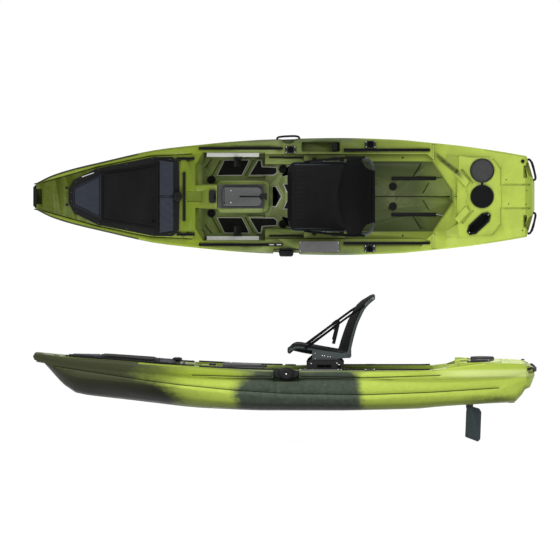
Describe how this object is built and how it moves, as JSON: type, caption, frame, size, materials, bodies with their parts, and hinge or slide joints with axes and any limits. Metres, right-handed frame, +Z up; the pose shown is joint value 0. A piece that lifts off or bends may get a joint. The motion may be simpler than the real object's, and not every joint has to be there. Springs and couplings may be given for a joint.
{
  "type": "fishing kayak",
  "caption": "Sit-on-top pedal fishing kayak with a framed mesh seat, bow hatch, tankwell, stern hatches, gear tracks and a kick-up rudder.",
  "frame": {"origin": "on the flat of the keel amidships, at the lowest line of the hull", "axes": "bow along -X, stern along +X, port along -Y, up along +Z"},
  "size_m": [3.8267, 0.9238, 1.1113],
  "materials": {
    "hull_plastic": "rotomoulded, lime blending to dark green",
    "black_plastic": "moulded, fine grain",
    "grey_plastic": "moulded, speckled",
    "slate_plastic": "moulded, satin",
    "white_plastic": "satin",
    "foam": "closed-cell foam, ribbed",
    "cover_cloth": "woven coated cloth",
    "seat_cloth": "open mesh",
    "webbing": "woven strap",
    "frame_tube": "dark anodised, satin",
    "tiller_metal": "satin"
  },
  "bodies": {
    "hull": {"accessory_base_port_rear": "black_plastic", "accessory_base_starboard_front": "black_plastic", "accessory_base_starboard_rear": "black_plastic", "bow_cover_frame": "black_plastic", "bow_handle": "black_plastic", "cover_cloth_front": "cover_cloth", "cover_cloth_rear": "cover_cloth", "drain_plug": "black_plastic", "drive_lock_bracket": "black_plastic", "foam_pad_centre": "foam", "foam_pad_front_port": "foam", "foam_pad_front_starboard": "foam", "foam_pad_middle_port": "foam", "foam_pad_middle_starboard": "foam", "foot_rail_port": "white_plastic", "foot_rail_starboard": "white_plastic", "gear_track_bow_port": "black_plastic", "gear_track_bow_starboard": "black_plastic", "gear_track_cross": "black_plastic", "gear_track_front_port": "black_plastic", "gear_track_front_starboard": "black_plastic", "gear_track_rear_port": "black_plastic", "gear_track_rear_starboard": "black_plastic", "hull": "hull_plastic", "rod_pocket": "black_plastic", "round_hatch_ring": "black_plastic", "rudder_bearing": "black_plastic", "scupper_plug_front_port": "black_plastic", "scupper_plug_front_starboard": "black_plastic", "scupper_plug_seat_port": "black_plastic", "scupper_plug_seat_starboard": "black_plastic", "side_handle_starboard": "black_plastic", "side_plate_port": "grey_plastic", "skid_pad": "foam", "steering_cable": "black_plastic", "steering_plate": "black_plastic", "stern_handle_port": "black_plastic", "stern_handle_starboard": "black_plastic", "tankwell_strip_port": "foam", "tankwell_strip_starboard": "foam"},
    "bow_lid": {"bow_lid": "black_plastic"},
    "cover_hub": {"cover_hub": "black_plastic"},
    "foot_peg_port": {"foot_peg_port": "black_plastic"},
    "foot_peg_starboard": {"foot_peg_starboard": "black_plastic"},
    "drive_plug": {"drive_plug": "grey_plastic"},
    "plug_latch": {"plug_latch": "black_plastic"},
    "round_hatch_lid": {"round_hatch_lid": "black_plastic"},
    "centre_hatch_lid": {"centre_hatch_lid": "black_plastic"},
    "seat": {"seat_base_port": "black_plastic", "seat_base_starboard": "black_plastic", "seat_frame": "frame_tube", "seat_mesh": "seat_cloth", "back_strap_port": "webbing", "back_strap_starboard": "webbing"},
    "backrest": {"back_frame": "frame_tube", "back_mesh": "seat_cloth"},
    "rudder": {"rudder_head": "slate_plastic", "rudder_tiller": "tiller_metal"},
    "rudder_blade": {"rudder_blade": "slate_plastic"},
    "steering_knob": {"steering_knob": "black_plastic"}
  },
  "joints": [
    {"name": "bow_lid_hinge", "type": "hinge", "parent": "hull", "child": "bow_lid", "pos_m": [-1.389, 0, 0.41299], "axis": [0, -1, 0], "range_deg": [0, 100]},
    {"name": "cover_hub_turn", "type": "hinge", "parent": "hull", "child": "cover_hub", "pos_m": [-0.812, 0, 0.36483], "axis": [0, 0, 1], "range_deg": [0, 90]},
    {"name": "foot_peg_port_slide", "type": "slide", "parent": "hull", "child": "foot_peg_port", "axis": [1, 0, 0], "range_m": [-0.19, 0.12]},
    {"name": "foot_peg_starboard_slide", "type": "slide", "parent": "hull", "child": "foot_peg_starboard", "axis": [1, 0, 0], "range_m": [-0.19, 0.12]},
    {"name": "drive_plug_lift", "type": "slide", "parent": "hull", "child": "drive_plug", "axis": [0, 0, 1], "range_m": [0, 0.4]},
    {"name": "plug_latch_hinge", "type": "hinge", "parent": "drive_plug", "child": "plug_latch", "pos_m": [-0.178, 0, 0.3271], "axis": [0, -1, 0], "range_deg": [0, 70]},
    {"name": "seat_slide", "type": "slide", "parent": "hull", "child": "seat", "axis": [1, 0, 0], "range_m": [-0.1, 0.04]},
    {"name": "backrest_fold", "type": "hinge", "parent": "seat", "child": "backrest", "pos_m": [0.488, 0, 0.43], "axis": [0, -1, 0], "range_deg": [0, 100], "deforming": ["back_mesh", "back_strap_port", "back_strap_starboard"]},
    {"name": "rudder_steer", "type": "hinge", "parent": "hull", "child": "rudder", "pos_m": [1.404, 0, 0.134], "axis": [0, 0, 1], "range_deg": [-25, 25], "deforming": ["steering_cable"]},
    {"name": "steering_knob_turn", "type": "hinge", "parent": "hull", "child": "steering_knob", "pos_m": [0.0148, -0.396, 0.2926], "axis": [0, 1, 0], "range_deg": [-60, 60]},
    {"name": "rudder_kick", "type": "hinge", "parent": "rudder", "child": "rudder_blade", "pos_m": [1.409, 0, 0.03], "axis": [0, -1, 0], "range_deg": [0, 92]},
    {"name": "round_hatch_lift", "type": "slide", "parent": "hull", "child": "round_hatch_lid", "axis": [0, 0, 1], "range_m": [0, 0.12]},
    {"name": "centre_hatch_lift", "type": "slide", "parent": "hull", "child": "centre_hatch_lid", "axis": [0, 0, 1], "range_m": [0, 0.12]}
  ],
  "couplings": [
    {"joint": "steering_knob_turn", "follows": "rudder_steer", "ratio": 2.4}
  ]
}
